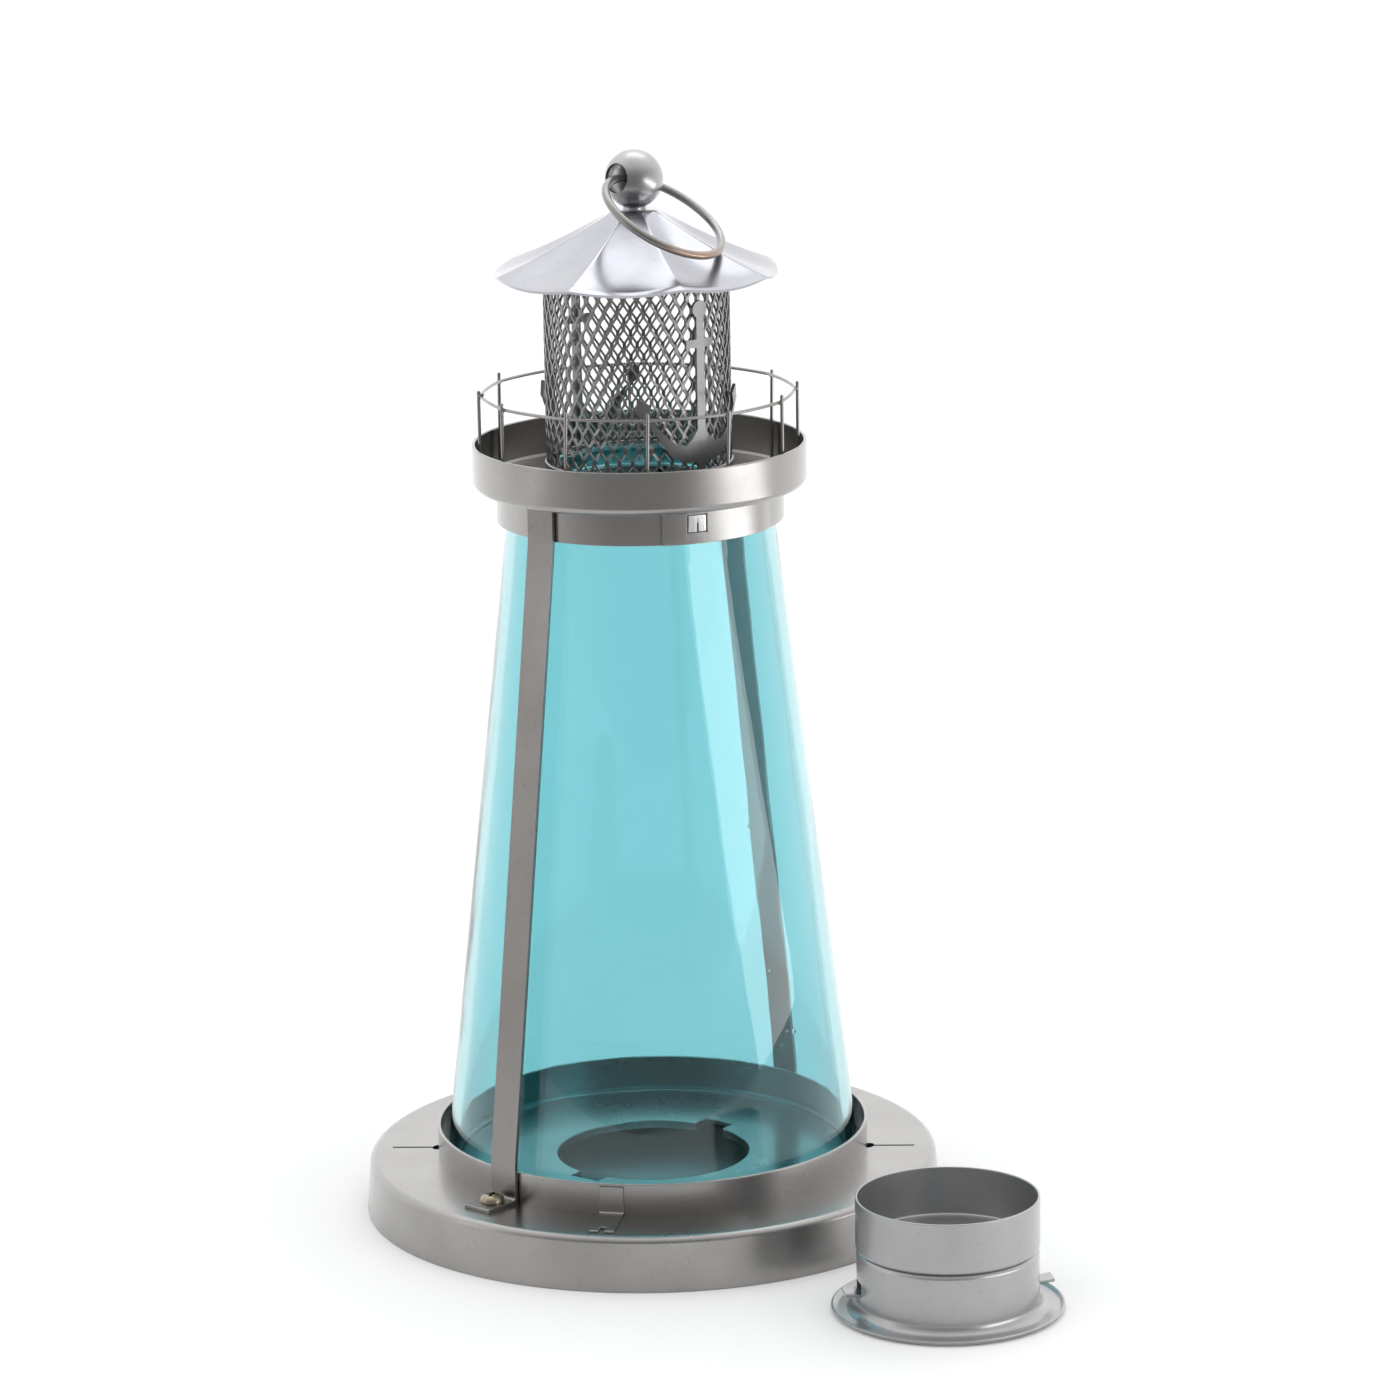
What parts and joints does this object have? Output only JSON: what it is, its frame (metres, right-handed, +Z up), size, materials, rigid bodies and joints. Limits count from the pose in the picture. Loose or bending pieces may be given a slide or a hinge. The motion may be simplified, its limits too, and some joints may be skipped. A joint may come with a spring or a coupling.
{
  "type": "lighthouse candle lantern",
  "caption": "Lighthouse-shaped candle lantern: tapered teal glass, strapped sheet-metal base, gallery with railing, mesh lamp room, fluted roof, hanging ring and a removable candle cup.",
  "frame": {"origin": "on the table, on the axis of the lantern: the centre of its round foot", "axes": "+Z up along the lantern axis, -Y towards the front, +X to the right; the candle cup stands at front right"},
  "size_m": [0.1681, 0.1851, 0.264],
  "materials": {
    "pewter_sheet": "satin pewter-grey lacquered sheet steel, lightly brushed",
    "roof_sheet": "bright satin nickel-tone pressed sheet",
    "wire": "drawn wire, satin",
    "mesh": "expanded metal, dull pewter",
    "anchor": "flat-cut sheet, satin",
    "ball": "hollow ball, satin bright",
    "glass": "clear teal glass with fine seeds",
    "screw": "zinc-passivated, slightly yellow"
  },
  "bodies": {
    "lantern": {"anchor_front": "anchor", "anchor_rear": "anchor", "base_pan": "pewter_sheet", "finial_ball": "ball", "finial_stem": "ball", "gallery_pan": "pewter_sheet", "glass_chimney": "glass", "lamp_room_mesh": "mesh", "mesh_hem_lower": "pewter_sheet", "mesh_hem_upper": "pewter_sheet", "neck_band": "pewter_sheet", "neck_band_tab": "pewter_sheet", "railing_hoop": "wire", "railing_post_01": "wire", "railing_post_02": "wire", "railing_post_03": "wire", "railing_post_04": "wire", "railing_post_05": "wire", "railing_post_06": "wire", "railing_post_07": "wire", "railing_post_08": "wire", "railing_post_09": "wire", "railing_post_10": "wire", "railing_post_11": "wire", "railing_post_12": "wire", "roof": "roof_sheet", "seat_clip_front": "pewter_sheet", "seat_clip_rear": "pewter_sheet", "seat_pan": "pewter_sheet", "strap_front": "pewter_sheet", "strap_nut_front": "screw", "strap_nut_rear": "screw", "strap_rear": "pewter_sheet", "strap_screw_front": "screw", "strap_screw_rear": "screw"},
    "ring": {"hanging_ring": "wire"},
    "candle_cup": {"cup_can": "pewter_sheet", "cup_sleeve": "pewter_sheet", "cup_lug_right": "pewter_sheet", "cup_lug_left": "pewter_sheet"}
  },
  "joints": [
    {"name": "ring_swing", "type": "hinge", "parent": "lantern", "child": "ring", "pos_m": [0, 0, 0.2569], "axis": [-0.6879, -0.7123, 0.1392], "range_deg": [0, 235]},
    {"name": "cup_lift", "type": "slide", "parent": "lantern", "child": "candle_cup", "axis": [0, 0, 1], "range_m": [0, 0.06]}
  ]
}
